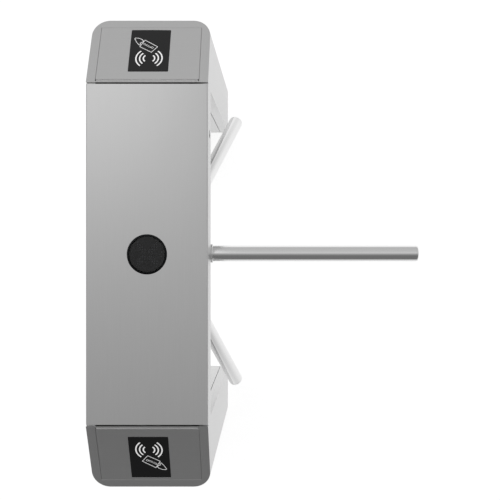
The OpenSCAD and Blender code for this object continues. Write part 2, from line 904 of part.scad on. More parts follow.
module cable_glands() {
    color("black")
        for (end = [0, 1])
            mirror([0, end, 0])
                translate([0, (half_gap + half_length) / 2, base_thick])
                    difference() {
                        union() {
                            hexagon(gland_radius, gland_height / 2);
                            cylinder(r = entry_radius, h = gland_height);
                            translate([0, 0, -base_thick])
                                cylinder(r = entry_radius - fit_gap, h = base_thick);
                        }
                        translate([0, 0, -base_thick - overrun])
                            cylinder(r = gland_bore, h = base_thick + gland_height + 2 * overrun);
                    }
}

module hinge_leaves() {
    color("silver") {
        at_cover_hinges() fixed_hinge(cover_hinge_length);
        for (end = [0, 1])
            mirror([0, end, 0]) {
                at_left_lid_hinge() fixed_knuckles(lid_hinge_length, lid_tab_reach);
                at_left_door_hinges() fixed_hinge(door_hinge_length);
            }
    }
}

module hinge_pins() {
    color("silver") {
        at_cover_hinges() pin(cover_hinge_length);
        for (end = [0, 1])
            mirror([0, end, 0]) {
                at_left_lid_hinge() pin(lid_hinge_length);
                at_left_door_hinges() pin(door_hinge_length);
            }
    }
}

// Electrics

module terminal_strip() {
    wall = half_length - sheet;
    row = terminal_count * terminal_thick + (terminal_count - 1) * terminal_gap;
    color("gray")
        translate([-rail_length / 2, wall - rail_depth, rail_height])
            cube([rail_length, rail_depth, rail_face]);
    color("lightgray")
        for (index = [0 : terminal_count - 1])
            translate([-row / 2 + index * (terminal_thick + terminal_gap), wall - rail_depth - terminal_depth,
                       rail_height + rail_face / 2 - terminal_height / 2])
                cube([terminal_thick, terminal_depth, terminal_height]);
}

module control_board() {
    top = floor_top + board_lift;
    translate([bay_x, board_distance - board_length / 2, 0]) {
        color("gray")
            for (x = [board_pillar_inset, board_width - board_pillar_inset],
                 y = [board_pillar_inset, board_length - board_pillar_inset])
                translate([x, y, floor_top])
                    cylinder(r = board_pillar_radius, h = board_lift);
        color("green")
            translate([0, 0, top])
                cube([board_width, board_length, board_thick]);
        color("black")
            translate([(board_width - chip_size) / 2, (board_length - chip_size) / 2, top + board_thick])
                cube([chip_size, chip_size, chip_height]);
        color("blue")
            for (index = [0 : relay_count - 1])
                translate([plug_inset, plug_inset + index * relay_spacing, top + board_thick])
                    cube([relay_width, relay_length, relay_height]);
        color("green")
            translate([board_width - plug_inset - plug_width, plug_inset, top + board_thick])
                cube([plug_width, board_length - 2 * plug_inset, plug_height]);
    }
}

module power_supply() {
    color("lightgray")
        translate([bay_x, -board_distance - supply_length / 2, floor_top])
            difference() {
                cube([supply_width, supply_length, supply_height]);
                translate([supply_wall, supply_wall, supply_wall])
                    cube([supply_width - 2 * supply_wall, supply_length - 2 * supply_wall,
                          supply_height - 2 * supply_wall]);
                for (step = [-3 : 3])
                    translate([(supply_width - vent_length) / 2,
                               supply_length / 2 + step * vent_spacing - vent_width / 2,
                               supply_height - supply_wall - overrun])
                        cube([vent_length, vent_width, supply_wall + 2 * overrun]);
            }
}

// Top cover

module cover_section(inset, drop) {
    reach = half_width - inset;
    bend = edge_bend - inset;
    union() {
        translate([-reach, -drop])
            square([2 * reach, cover_depth - edge_bend + drop]);
        translate([-reach + bend, -drop])
            square([2 * (reach - bend), cover_depth - inset + drop]);
        for (side = [-1, 1])
            translate([side * (reach - bend), cover_depth - edge_bend])
                circle(r = bend);
    }
}

module top_cover() {
    hook_foot_top = body_height - cover_lock_drop - tongue_width / 2 - strike_play;
    hook_x = half_width - lock_bush_length - hook_foot / 2 - tongue_thick;
    color("silver") {
        difference() {
            translate([0, 0, cover_foot])
                along_bridge(flat_length) cover_section(0, 0);
            translate([0, 0, cover_foot])
                along_bridge(flat_length - 2 * sheet) cover_section(sheet, overrun);
            translate([0, 0, cover_foot])
                cylinder(r = indicator_radius + fit_gap, h = cover_depth + overrun);
        }
        for (share = rib_shares)
            translate([-half_width + sheet + rib_end_gap, share * rib_spacing - rib_width / 2,
                       body_height - sheet - rib_depth])
                cube([body_width - 2 * (sheet + rib_end_gap), rib_width, rib_depth]);
        translate([hook_x - hook_thick, cover_lock_distance + hook_start, hook_foot_top - hook_thick])
            cube([hook_thick, hook_width, body_height - sheet - hook_foot_top + hook_thick]);
        translate([hook_x - hook_thick, cover_lock_distance + hook_start, hook_foot_top - hook_thick])
            cube([hook_foot, hook_width, hook_thick]);
        at_cover_hinges() moving_hinge(cover_hinge_length);
    }
}

module indicator_bezel() {
    inner = indicator_radius - bezel_wall;
    ledge_top = -lens_sink - lens_thick;
    color("black")
        translate([0, 0, body_height])
            rotate_extrude()
                polygon([
                    [inner, bezel_rise],
                    [indicator_radius, bezel_rise],
                    [indicator_radius + bezel_flange, bezel_rise / 3],
                    [indicator_radius + bezel_flange, 0],
                    [indicator_radius, 0],
                    [indicator_radius, -bezel_depth],
                    [inner, -bezel_depth],
                    [inner, ledge_top - ledge_thick],
                    [inner - lens_ledge, ledge_top - ledge_thick],
                    [inner - lens_ledge, ledge_top],
                    [inner, ledge_top]
                ]);
}

module indicator_lens() {
    color("black")
        translate([0, 0, body_height - lens_sink - lens_thick])
            cylinder(r = indicator_radius - bezel_wall - fit_gap, h = lens_thick);
}

module indicator_board() {
    top = body_height - lens_sink - lens_thick - ledge_thick;
    color("green")
        translate([0, 0, top - board_thick])
            cylinder(r = indicator_radius - bezel_wall - fit_gap, h = board_thick);
    color("red")
        for (places = [arrow_shares, cross_shares], place = places)
            translate([place[0] * lamp_pitch, place[1] * lamp_pitch, top])
                cylinder(r = lamp_radius, h = lamp_height);
}

module cover_lock() {
    depth = lock_bush_length + strike_play;
    color("gray")
        at_cover_lock() {
            cylinder(r = lock_face_radius, h = lock_face);
            translate([0, 0, -depth])
                cylinder(r = lock_radius, h = depth);
            translate([-cover_tongue_reach, -tongue_width / 2, -depth - tongue_thick])
                cube([cover_tongue_reach + lock_radius, tongue_width, tongue_thick]);
        }
}

// Reader lids

module reader_lid() {
    lid_start = lid_axis_offset + hinge_half;
    in_left_slope()
        difference() {
            translate([0, lid_start, 0])
                tray(2 * lid_half, lid_length - hinge_half, fold_depth + sheet);
            translate([0, window_start + window_length / 2, -sheet - overrun])
                rounded_plate(window_width + 2 * fit_gap, window_length + 2 * fit_gap, window_corner,
                              sheet + 2 * overrun);
        }
    at_left_lid_hinge() moving_hinge(lid_hinge_length);
}

module left_reader_lid() {
    color("silver") reader_lid();
}

module right_reader_lid() {
    color("silver") at_right() reader_lid();
}

module window() {
    in_left_slope()
        translate([0, window_start + window_length / 2, 0]) {
            translate([0, 0, -sheet])
                rounded_plate(window_width, window_length, window_corner, sheet + window_rise);
            translate([0, 0, -window_thick])
                rounded_plate(window_width + 2 * window_flange, window_length + 2 * window_flange,
                              window_corner, window_thick - sheet);
        }
}

module left_window() {
    color("black") window();
}

module right_window() {
    color("black") at_right() window();
}

module reader_module() {
    in_left_slope()
        translate([0, window_start + window_length / 2, -window_thick - module_thick])
            rounded_plate(module_width, module_length, window_corner, module_thick);
}

module left_reader_module() {
    color("dimgray") reader_module();
}

module right_reader_module() {
    color("dimgray") at_right() reader_module();
}

// Leg doors

module at_left_door_lock() {
    translate([lock_x, half_gap, door_lock_height])
        rotate([90, 0, 0])
            children();
}

module leg_door() {
    width = 2 * door_half - hinge_half - seam;
    difference() {
        union() {
            translate([-door_half + hinge_half + width / 2, half_gap, door_foot])
                rotate([90, 0, 0])
                    tray(width, door_top - door_foot, fold_depth + sheet);
            at_left_door_lock()
                translate([0, 0, -lock_bush_length])
                    cylinder(r = lock_bush_radius, h = lock_bush_length);
        }
        at_left_door_lock()
            translate([0, 0, -lock_bush_length - overrun])
                cylinder(r = lock_radius + running_gap, h = lock_bush_length + 2 * overrun);
    }
    at_left_door_hinges() moving_hinge(door_hinge_length);
}

module left_door() {
    color("silver") leg_door();
}

module right_door() {
    color("silver") at_right() leg_door();
}

module door_lock() {
    at_left_door_lock() {
        cylinder(r = lock_face_radius, h = lock_face);
        translate([0, 0, -tongue_depth])
            cylinder(r = lock_radius, h = tongue_depth);
        translate([-tongue_width / 2, -tongue_reach, -tongue_depth - tongue_thick])
            cube([tongue_width, tongue_reach + lock_radius, tongue_thick]);
    }
}

module left_door_lock() {
    color("gray") door_lock();
}

module right_door_lock() {
    color("gray") at_right() door_lock();
}

// Rotor

module rotor_shaft() {
    color("gray")
        in_rotor() {
            translate([0, 0, neck_start])
                cylinder(r = shaft_radius, h = shaft_front - neck_start);
            translate([0, 0, neck_end])
                cylinder(r = shaft_neck_radius, h = neck_length);
            translate([0, 0, -rear_plate_distance - rear_plate_thick])
                cylinder(r = shaft_tail_radius, h = rear_plate_distance + rear_plate_thick + neck_end);
            translate([0, 0, hub_rear - shaft_flange])
                cylinder(r = shaft_flange_radius, h = shaft_flange);
        }
}

module rotor_hub() {
    color("lightgray")
        in_rotor()
            difference() {
                rotate_extrude()
                    polygon([
                        [0, hub_rear],
                        [hub_radius, hub_rear],
                        [hub_radius, hub_rim],
                        [hub_nose_radius, hub_front],
                        [0, hub_front]
                    ]);
                translate([0, 0, hub_rear - overrun])
                    ring(hub_radius - hub_wall, hub_boss_radius, hub_hollow + overrun);
                translate([0, 0, hub_rear - overrun])
                    cylinder(r = shaft_radius + slip_gap, h = shaft_front - hub_rear + overrun);
                for (index = [0 : arm_count - 1])
                    at_arm(index)
                        translate([0, 0, socket_start])
                            cylinder(r = socket_radius + slip_gap, h = socket_reach - socket_start);
            }
}

// The sockets are closed behind the arms, and each holds its arm with one screw.
module arm_sockets() {
    color("silver")
        in_rotor()
            for (index = [0 : arm_count - 1])
                at_arm(index)
                    difference() {
                        translate([0, 0, socket_start])
                            cylinder(r = socket_radius, h = socket_reach - socket_start);
                        translate([0, 0, arm_start])
                            cylinder(r = arm_radius + slip_gap, h = socket_reach - arm_start + overrun);
                        translate([0, 0, screw_distance])
                            rotate([0, 90, 0])
                                cylinder(r = screw_radius + bolt_gap, h = socket_radius + overrun);
                    }
}

module hub_cap() {
    color("silver")
        in_rotor()
            translate([0, 0, hub_front])
                cylinder(r = hub_cap_radius, h = hub_cap_thick);
}

module arm(index) {
    in_rotor()
        at_arm(index)
            translate([0, 0, arm_start])
                ring(arm_radius, arm_radius - arm_wall, arm_reach - cap_thick - arm_start);
}

module level_arm() {
    color("silver") arm(0);
}

module left_arm() {
    color("silver") arm(2);
}

module right_arm() {
    color("silver") arm(1);
}

module arm_caps() {
    color("silver")
        in_rotor()
            for (index = [0 : arm_count - 1])
                at_arm(index)
                    translate([0, 0, arm_reach - cap_thick])
                        rotate_extrude()
                            union() {
                                translate([0, -cap_plug])
                                    square([arm_radius - arm_wall - slip_gap, cap_plug]);
                                square([arm_radius, cap_thick - cap_round]);
                                square([arm_radius - cap_round, cap_thick]);
                                translate([arm_radius - cap_round, cap_thick - cap_round])
                                    intersection() {
                                        circle(r = cap_round);
                                        square([cap_round, cap_round]);
                                    }
                            }
}

module arm_screws() {
    color("dimgray")
        in_rotor()
            for (index = [0 : arm_count - 1])
                at_arm(index)
                    translate([arm_radius, 0, screw_distance])
                        rotate([0, 90, 0])
                            difference() {
                                cylinder(r = screw_radius, h = socket_radius - arm_radius);
                                translate([0, 0, socket_radius - arm_radius - screw_radius])
                                    hexagon(screw_radius / 2, screw_radius + overrun);
                            }
}

module on_neck(place, outer, height) {
    translate([0, 0, place])
        ring(outer, shaft_neck_radius + running_gap, height);
}

module locking_disc() {
    color("gray")
        in_rotor() {
            difference() {
                on_neck(lock_disc_rear, lock_disc_radius, lock_disc_thick);
                for (index = [0 : notch_count - 1])
                    rotate([0, 0, 90 + index * 360 / notch_count])
                        translate([lock_disc_radius - notch_depth, -notch_width / 2, lock_disc_rear - overrun])
                            cube([notch_depth + overrun, notch_width, lock_disc_thick + 2 * overrun]);
            }
            on_neck(gear_front, collar_radius, disc_collar);
        }
}

function involute(angle) = tan(angle) * 180 / PI - angle;
function flank_angle(base, radius) = involute(acos(min(1, base / radius)));
// Half the angle that a tooth fills at a given radius.
function half_tooth(teeth, radius) =
    let (pitch = tooth_module * teeth / 2, base = pitch * cos(pressure_angle))
        (PI * tooth_module / 2 - backlash) / pitch * 90 / PI
            + flank_angle(base, pitch) - flank_angle(base, max(base, radius));
function tooth_points(teeth) =
    let (pitch = tooth_module * teeth / 2,
         low = pitch - dedendum_share * tooth_module,
         high = pitch + addendum_share * tooth_module)
        [for (index = [0 : teeth - 1], step = [[-1, low], [-1, pitch], [-1, high], [1, high], [1, pitch], [1, low]])
            let (turn = index * 360 / teeth + step[0] * half_tooth(teeth, step[1]))
                [step[1] * cos(turn), step[1] * sin(turn)]];

module spur_gear(teeth, height) {
    linear_extrude(height)
        polygon(tooth_points(teeth));
}

module drive_gear() {
    color("goldenrod")
        in_rotor()
            difference() {
                union() {
                    translate([0, 0, gear_rear])
                        spur_gear(gear_teeth, gear_thick);
                    translate([0, 0, encoder_front])
                        cylinder(r = collar_radius, h = gear_collar);
                }
                translate([0, 0, encoder_front - overrun])
                    cylinder(r = shaft_neck_radius + running_gap,
                             h = gear_collar + gear_thick + 2 * overrun);
            }
}

module encoder_disc() {
    color("dimgray")
        in_rotor()
            difference() {
                on_neck(encoder_rear, encoder_radius, encoder_thick);
                for (index = [0 : encoder_slot_count - 1])
                    rotate([0, 0, (index + 0.5) * 360 / encoder_slot_count])
                        translate([encoder_radius - encoder_slot, -encoder_slot_width / 2,
                                   encoder_rear - overrun])
                            cube([encoder_slot + overrun, encoder_slot_width, encoder_thick + 2 * overrun]);
            }
}

module shaft_nut() {
    color("gray")
        in_rotor()
            translate([0, 0, encoder_rear - nut_thick])
                difference() {
                    hexagon(nut_radius, nut_thick);
                    translate([0, 0, -overrun])
                        cylinder(r = shaft_neck_radius + running_gap, h = nut_thick + 2 * overrun);
                }
}

// A pinion is turned so that a gap between its teeth faces the drive gear.
module at_pinion(side) {
    rotate([0, 0, side * lean])
        translate([pinion_distance, 0, 0])
            rotate([0, 0, 180 + 180 / pinion_teeth])
                children();
}

module pinion(side) {
    tail = -rear_plate_distance - rear_plate_thick - pinion_shaft_depth;
    in_rotor()
        at_pinion(side) {
            translate([0, 0, gear_rear])
                spur_gear(pinion_teeth, gear_thick);
            translate([0, 0, tail])
                cylinder(r = pinion_shaft_radius, h = gear_front + pinion_shaft_front - tail);
        }
}

module motor_pinion() {
    color("goldenrod") pinion(1);
}

module damper_pinion() {
    color("goldenrod") pinion(-1);
}

// Mechanism frame

module main_plate() {
    color("lightsteelblue")
        in_rotor()
            difference() {
                translate([-plate_up, -plate_width / 2, plate_rear])
                    cube([plate_up + plate_down, plate_width, plate_thick]);
                translate([0, 0, plate_rear - overrun])
                    cylinder(r = plate_bore_radius, h = plate_thick + 2 * overrun);
                for (index = [0 : housing_bolt_count - 1])
                    rotate([0, 0, (index + 0.5) * 360 / housing_bolt_count])
                        translate([bolt_circle, 0, plate_rear - overrun])
                            cylinder(r = bolt_radius + bolt_gap, h = plate_thick + 2 * overrun);
            }
}

module plate_spacers() {
    color("gray")
        in_rotor()
            for (x = [-plate_up + spacer_inset, plate_down - spacer_inset], y = [-1, 1])
                translate([x, y * (plate_width / 2 - spacer_inset), plate_front])
                    cylinder(r = spacer_radius, h = opening_plane - sheet - plate_front);
}

module bearing_housing() {
    color("lightsteelblue")
        in_rotor()
            difference() {
                union() {
                    translate([0, 0, housing_rear])
                        cylinder(r = housing_radius, h = housing_length);
                    translate([0, 0, plate_rear - housing_flange])
                        cylinder(r = housing_flange_radius, h = housing_flange);
                }
                for (start = [housing_rear - overrun, plate_rear - bearing_width])
                    translate([0, 0, start])
                        cylinder(r = bearing_radius, h = bearing_width + overrun);
                translate([0, 0, housing_rear - overrun])
                    cylinder(r = bearing_lip_radius, h = housing_length + 2 * overrun);
                for (index = [0 : housing_bolt_count - 1])
                    rotate([0, 0, (index + 0.5) * 360 / housing_bolt_count])
                        translate([bolt_circle, 0, plate_rear - housing_flange - overrun])
                            cylinder(r = bolt_radius + bolt_gap, h = housing_flange + 2 * overrun);
            }
}

module shaft_bearings() {
    bore = shaft_radius + running_gap;
    color("silver")
        in_rotor()
            for (start = [housing_rear, plate_rear - bearing_width])
                translate([0, 0, start])
                    difference() {
                        ring(bearing_radius, bore, bearing_width);
                        for (face = [-overrun, bearing_width - shield_sink])
                            translate([0, 0, face])
                                ring(bearing_radius - race_wall, bore + race_wall, shield_sink + overrun);
                    }
}

module housing_bolts() {
    color("dimgray")
        in_rotor()
            for (index = [0 : housing_bolt_count - 1])
                rotate([0, 0, (index + 0.5) * 360 / housing_bolt_count])
                    translate([bolt_circle, 0, plate_rear - housing_flange - bolt_head]) {
                        hexagon(bolt_head_radius, bolt_head);
                        cylinder(r = bolt_radius, h = bolt_head + housing_flange + plate_thick);
                    }
}

module rear_plate() {
    rear_face = -rear_plate_distance - rear_plate_thick;
    color("lightsteelblue")
        in_rotor()
            difference() {
                translate([-rear_up, -rear_width / 2, rear_face])
                    cube([rear_up + rear_down, rear_width, rear_plate_thick]);
                translate([0, 0, rear_face - overrun])
                    cylinder(r = shaft_tail_radius + running_gap, h = rear_plate_thick + 2 * overrun);
                for (side = [-1, 1])
                    at_pinion(side)
                        translate([0, 0, rear_face - overrun])
                            cylinder(r = pinion_shaft_radius + pinion_shaft_front,
                                     h = rear_plate_thick + 2 * overrun);
            }
}

module rear_pillars() {
    color("gray")
        in_rotor()
            for (place = [[-pillar_up, -pillar_side], [-pillar_up, pillar_side], [pillar_down, 0]])
                translate([place[0], place[1], -rear_plate_distance])
                    cylinder(r = pillar_radius, h = rear_plate_distance + plate_rear);
}

module drive_body(side, radius, length) {
    in_rotor()
        at_pinion(side)
            translate([0, 0, -rear_plate_distance - rear_plate_thick - length])
                difference() {
                    cylinder(r = radius, h = length);
                    translate([0, 0, length - pinion_shaft_depth - pinion_shaft_front])
                        cylinder(r = pinion_shaft_radius + running_gap,
                                 h = pinion_shaft_depth + pinion_shaft_front + overrun);
                }
}

module drive_motor() {
    color("dimgray") drive_body(1, motor_radius, motor_length);
}

module rotary_damper() {
    color("black") drive_body(-1, damper_radius, damper_length);
}

module position_sensor() {
    slot_rear = encoder_rear - sensor_gap;
    slot_front = encoder_front + sensor_gap;
    outer = encoder_radius + sensor_length - sensor_overlap;
    color("black")
        in_rotor()
            difference() {
                translate([-outer, -sensor_width / 2, -rear_plate_distance])
                    cube([sensor_length, sensor_width, rear_plate_distance + slot_front + sensor_arm]);
                translate([-encoder_radius - sensor_gap, -sensor_width / 2 - overrun, slot_rear])
                    cube([sensor_length, sensor_width + 2 * overrun, slot_front - slot_rear]);
            }
}

// Pawls, drawn on the left side of the rotor and mirrored to the right

module at_left_pawl() {
    in_rotor()
        translate([pawl_down, pawl_side, 0])
            children();
}

module pawl_post() {
    at_left_pawl() {
        translate([0, 0, neck_start + pawl_end_gap])
            cylinder(r = post_collar_radius, h = plate_rear - neck_start - pawl_end_gap);
        translate([0, 0, lock_disc_rear - pawl_end_gap])
            cylinder(r = post_radius, h = plate_rear - lock_disc_rear + pawl_end_gap);
        translate([0, 0, lock_disc_rear - pawl_end_gap - post_head])
            cylinder(r = post_collar_radius, h = post_head);
    }
}

module pawl_posts() {
    color("gray") {
        pawl_post();
        at_right() pawl_post();
    }
}

module pawl() {
    nose = pawl_down;
    at_left_pawl() {
        translate([0, 0, lock_disc_rear])
            difference() {
                union() {
                    cylinder(r = pawl_boss_radius, h = lock_disc_thick);
                    linear_extrude(lock_disc_thick)
                        polygon([
                            [0, pawl_boss_radius],
                            [-link_reach - link_wall, pawl_high],
                            [-link_reach - link_wall, pawl_tail_low],
                            [-nose - nose_half, pawl_tail_low],
                            [-nose - nose_half, nose_tip],
                            [-nose + nose_half, nose_tip],
                            [-nose + nose_half, pawl_low],
                            [0, 0]
                        ]);
                }
                translate([0, 0, -overrun])
                    cylinder(r = post_radius + running_gap, h = lock_disc_thick + 2 * overrun);
            }
        translate([-link_reach, link_rise, neck_start])
            cylinder(r = link_radius, h = link_length);
    }
}

module left_pawl() {
    color("steelblue") pawl();
}

module right_pawl() {
    color("steelblue") at_right() pawl();
}

// The axis of a plunger, from the link pin's place outwards.
module at_left_plunger() {
    at_left_pawl()
        translate([-link_reach - link_travel / 2, link_rise, neck_start + link_offset])
            children();
}

module plunger() {
    slot_half = link_radius + link_gap;
    plate_half = slot_half + link_travel / 2 + link_wall;
    at_left_plunger() {
        difference() {
            translate([-plate_half, -slot_half - link_wall / 2, 0])
                cube([2 * plate_half, slot_half + link_wall / 2 + link_tail, link_thick]);
            translate([-slot_half - link_travel / 2, -slot_half, -overrun])
                cube([2 * slot_half + link_travel, 2 * slot_half, link_thick + 2 * overrun]);
        }
        translate([0, link_tail, link_thick / 2])
            rotate([-90, 0, 0])
                cylinder(r = plunger_radius, h = plunger_length);
    }
}

module left_plunger() {
    color("silver") plunger();
}

module right_plunger() {
    color("silver") at_right() plunger();
}

module solenoid() {
    centre = neck_start + link_offset + link_thick / 2;
    in_rotor()
        difference() {
            translate([pawl_down - link_reach - link_travel / 2 - solenoid_width / 2, solenoid_start, 0]) {
                translate([0, 0, centre - solenoid_width / 2])
                    cube([solenoid_width, solenoid_length, solenoid_width]);
                translate([0, 0, centre])
                    cube([solenoid_width, bracket_thick, plate_rear - centre]);
            }
            translate([pawl_down - link_reach - link_travel / 2, solenoid_start - overrun, centre])
                rotate([-90, 0, 0])
                    cylinder(r = plunger_radius + plunger_gap, h = solenoid_length + 2 * overrun);
        }
}

module left_solenoid() {
    color("black") solenoid();
}

module right_solenoid() {
    color("black") at_right() solenoid();
}

bridge_box();
left_leg();
right_leg();
left_base_plate();
right_base_plate();
bridge_bolts();
hinge_leaves();
hinge_pins();
cable_glands();
terminal_strip();
control_board();
power_supply();
top_cover();
indicator_bezel();
indicator_lens();
indicator_board();
cover_lock();
left_reader_lid();
right_reader_lid();
left_window();
right_window();
left_reader_module();
right_reader_module();
left_door();
right_door();
left_door_lock();
right_door_lock();
rotor_shaft();
rotor_hub();
arm_sockets();
hub_cap();
level_arm();
left_arm();
right_arm();
arm_caps();
arm_screws();
locking_disc();
drive_gear();
encoder_disc();
shaft_nut();
motor_pinion();
damper_pinion();
main_plate();
plate_spacers();
bearing_housing();
shaft_bearings();
housing_bolts();
rear_plate();
rear_pillars();
drive_motor();
rotary_damper();
position_sensor();
pawl_posts();
left_pawl();
right_pawl();
left_plunger();
right_plunger();
left_solenoid();
right_solenoid();
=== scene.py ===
import json
from math import atan2, pi, radians

import bmesh
import bpy
from mathutils import Matrix, Vector


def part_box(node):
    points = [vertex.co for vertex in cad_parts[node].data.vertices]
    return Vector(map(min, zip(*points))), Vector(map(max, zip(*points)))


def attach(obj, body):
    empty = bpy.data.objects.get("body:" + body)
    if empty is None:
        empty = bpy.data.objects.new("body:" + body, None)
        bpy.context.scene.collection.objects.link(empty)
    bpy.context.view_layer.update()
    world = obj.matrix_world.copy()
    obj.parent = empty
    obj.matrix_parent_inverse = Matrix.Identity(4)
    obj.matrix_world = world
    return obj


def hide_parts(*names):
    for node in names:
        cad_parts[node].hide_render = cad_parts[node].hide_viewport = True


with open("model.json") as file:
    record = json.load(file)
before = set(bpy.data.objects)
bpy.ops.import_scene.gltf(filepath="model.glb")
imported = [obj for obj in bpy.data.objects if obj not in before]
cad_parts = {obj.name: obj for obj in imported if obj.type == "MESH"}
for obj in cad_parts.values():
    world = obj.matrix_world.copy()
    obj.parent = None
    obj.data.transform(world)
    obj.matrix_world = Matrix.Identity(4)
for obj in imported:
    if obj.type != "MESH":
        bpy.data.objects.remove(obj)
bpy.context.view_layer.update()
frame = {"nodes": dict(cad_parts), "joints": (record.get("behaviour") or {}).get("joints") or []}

# Camera: it looks straight down from above the arms' side, as the photograph does. Its shift sets
# the point under the lens, where the upright walls of the cabinet would run together.
lens_length = 69.02
sensor_width = 36
lens_shift = (-0.0444, -0.0246)
camera_place = (0.2864, 0.0381, 3.171)

lens = bpy.data.cameras.new("overhead_lens")
lens.lens = lens_length
lens.sensor_width = sensor_width
lens.shift_x, lens.shift_y = lens_shift
camera = bpy.data.objects.new("overhead_camera", lens)
camera.location = camera_place
bpy.context.scene.collection.objects.link(camera)
bpy.context.scene.camera = camera

# Floor: a plain white studio floor. The camera sees it white, also through clear acrylic, and it
# keeps the object's own soft shadow. For the metal it is a pool of light that fades away outwards.
floor_half = 12
floor_white = "#C6C6C6"
floor_glow = 0.8
pool_middle = (0, 0.5, 0)
pool_start, pool_end = 1.1, 5
pool_near, pool_far = 0.86, 0.2


def linear(code):
    """Turns an sRGB hex colour into the linear colour that a shader takes."""
    parts = [int(code[start:start + 2], 16) / 255 for start in (1, 3, 5)]
    return [part / 12.92 if part <= 0.04045 else ((part + 0.055) / 1.055) ** 2.4 for part in parts] + [1]


def add(owner, kind, settings=None, links=None):
    """Adds one shader node to a material or the world, with its settings and incoming links."""
    node = owner.node_tree.nodes.new("ShaderNode" + kind)
    for name, value in (settings or {}).items():
        if isinstance(name, int) or name in node.inputs:
            node.inputs[name].default_value = value
        else:
            setattr(node, name, value)
    for name, source in (links or {}).items():
        owner.node_tree.links.new(source, node.inputs[name])
    return node


def blank(name):
    """A material with an empty node tree."""
    material = bpy.data.materials.new(name)
    material.use_nodes = True
    material.node_tree.nodes.clear()
    return material


def shown(name, form):
    """Makes an object of a finished bmesh."""
    mesh = bpy.data.meshes.new(name)
    form.to_mesh(mesh)
    form.free()
    piece = bpy.data.objects.new(name, mesh)
    bpy.context.scene.collection.objects.link(piece)
    return piece


floor_form = bmesh.new()
bmesh.ops.create_grid(floor_form, x_segments=1, y_segments=1, size=floor_half)
floor = shown("studio_floor", floor_form)
floor_paint = blank("white_floor_paint")
ray = add(floor_paint, "LightPath")
spot = add(floor_paint, "TexCoord")
reach = add(floor_paint, "VectorMath", {"operation": "DISTANCE", 1: pool_middle},
            {0: spot.outputs["Object"]})
pool = add(floor_paint, "MapRange", {"From Min": pool_start, "From Max": pool_end,
                                     "To Min": pool_near, "To Max": pool_far},
           {"Value": reach.outputs["Value"]})
seen = add(floor_paint, "Math", {"operation": "MULTIPLY"},
           {0: pool.outputs["Result"], 1: ray.outputs["Is Glossy Ray"]})
for kind in ("Is Camera Ray", "Is Transmission Ray"):
    seen = add(floor_paint, "Math", {"operation": "MAXIMUM"},
               {0: seen.outputs["Value"], 1: ray.outputs[kind]})
glow = add(floor_paint, "Math", {"operation": "MULTIPLY", 1: floor_glow}, {0: seen.outputs["Value"]})
paint = add(floor_paint, "BsdfDiffuse", {"Color": linear(floor_white)})
shine = add(floor_paint, "Emission", links={"Strength": glow.outputs["Value"]})
both = add(floor_paint, "AddShader", links={0: paint.outputs["BSDF"], 1: shine.outputs["Emission"]})
add(floor_paint, "OutputMaterial", links={"Surface": both.outputs["Shader"]})
floor.data.materials.append(floor_paint)

# Studio light: a room with a bright ceiling that falls to a dark wall on the -Y side, as stops from
# -Y to +Y, and one large soft lamp high over the +Y end. The lamp gives the flat top its fall of
# light, and it hangs on the side away from the arms, so that they don't mirror it.
room_tones = ((0, "#727272"), (0.15, "#717171"), (0.25, "#7A7A7A"), (0.35, "#909090"), (0.43, "#A8A8A8"),
              (0.5, "#BFBFBF"), (0.61, "#CFCFCF"), (0.75, "#C6C6C6"), (0.85, "#C2C2C2"), (1, "#C0C0C0"))
lamp_size = (2.9, 2.3)
lamp_power = 7.8
lamp_place = (-1.5, 1.45, 3.9)
lamp_aim = (-1.5, 0.1, 0.98)

room = bpy.data.worlds.new("studio_room")
room.use_nodes = True
room.node_tree.nodes.clear()
way = add(room, "TexCoord")
parts = add(room, "SeparateXYZ", links={"Vector": way.outputs["Generated"]})
side = add(room, "MapRange", {"From Min": -1, "From Max": 1}, {"Value": parts.outputs["Y"]})
tone = add(room, "ValToRGB", links={"Fac": side.outputs["Result"]})
stops = tone.color_ramp.elements
stops.remove(stops[1])
for place, code in room_tones[1:]:
    stops.new(place).color = linear(code)
stops[0].color = linear(room_tones[0][1])
back = add(room, "Background", links={"Color": tone.outputs["Color"]})
add(room, "OutputWorld", links={"Surface": back.outputs["Background"]})
bpy.context.scene.world = room
bpy.context.scene.view_settings.view_transform = "Standard"

lamp = bpy.data.lights.new("soft_lamp", "AREA")
lamp.shape = "RECTANGLE"
lamp.size, lamp.size_y = lamp_size
lamp.energy = lamp_power
soft_lamp = bpy.data.objects.new("soft_lamp", lamp)
soft_lamp.location = lamp_place
soft_lamp.rotation_euler = (Vector(lamp_aim) - Vector(lamp_place)).to_track_quat("-Z", "Y").to_euler()
bpy.context.scene.collection.objects.link(soft_lamp)

# Base plates: 6 mm stainless plates that stand on the floor under the legs, brushed like them. The
# brush lines are drawn coarser than the real 0.1 mm ones so that they show.
plate_edge = 0.8
per_metre = 1000
noise_detail = 3
noise_roughness = 0.6
marks_low, marks_high = 0.3, 0.7
bevel_segments = 3
sharp_angle = 30
flat_angle = 0.5
merge_distance = 1e-6
sheet_dark, sheet_light = "#DCDCDC", "#E3E3E3"
sheet_smooth, sheet_coarse = 0.32, 0.38
brush_length, brush_width, brush_depth = 90, 1.5, 0.006


